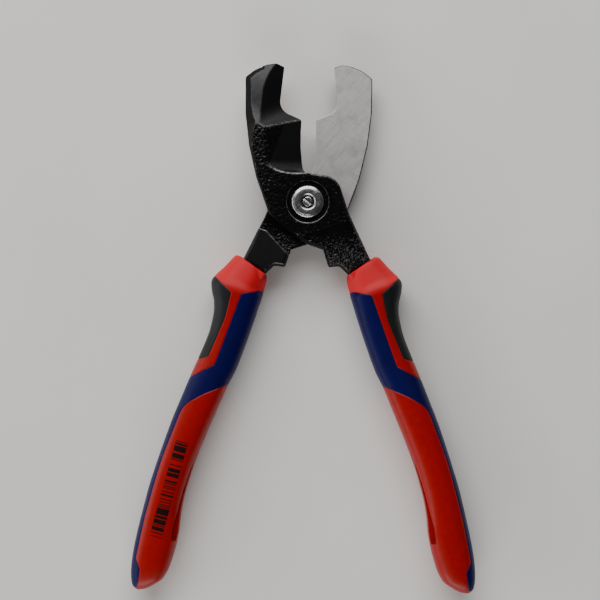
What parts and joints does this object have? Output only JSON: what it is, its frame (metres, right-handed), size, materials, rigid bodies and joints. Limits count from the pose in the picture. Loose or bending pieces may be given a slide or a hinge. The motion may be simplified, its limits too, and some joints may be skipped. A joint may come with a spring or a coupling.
{
  "type": "cable shears",
  "caption": "Hand cable shears with a stepped double cutting edge, two forged levers on a screwed pivot sleeve, and curved grips in hard and soft plastic.",
  "frame": {"origin": "on the pivot axis, at the outer face of the pivot screw's head, which is one of the places that the tool lies on", "axes": "+Z along the pivot axis, away from the surface that the tool lies on; +Y towards the jaws' tips, midway between the two levers as they rest; +X to the right with the jaws pointing away, on the side of the front lever's grip"},
  "size_m": [0.1232, 0.1883, 0.0152],
  "materials": {
    "forged_steel": "glossy black over a forged surface, with a bare ground face on the shear plane",
    "turned_steel": "bright turned steel",
    "hard_plastic": "glossy red",
    "soft_plastic": "satin deep blue",
    "pad_plastic": "satin dark grey"
  },
  "bodies": {
    "rear_half": {"rear_lever": "forged_steel", "left_grip_core": "hard_plastic", "left_grip_soft": "soft_plastic", "left_thumb_pad": "pad_plastic"},
    "front_half": {"front_lever": "forged_steel", "pivot_sleeve": "turned_steel", "pivot_screw": "turned_steel", "spring_washer": "turned_steel", "right_grip_core": "hard_plastic", "right_grip_soft": "soft_plastic", "right_thumb_pad": "pad_plastic"}
  },
  "joints": [
    {"name": "pivot", "type": "hinge", "parent": "rear_half", "child": "front_half", "pos_m": [0, 0, 0.0075], "axis": [0, 0, 1], "range_deg": [-37, 48]}
  ]
}
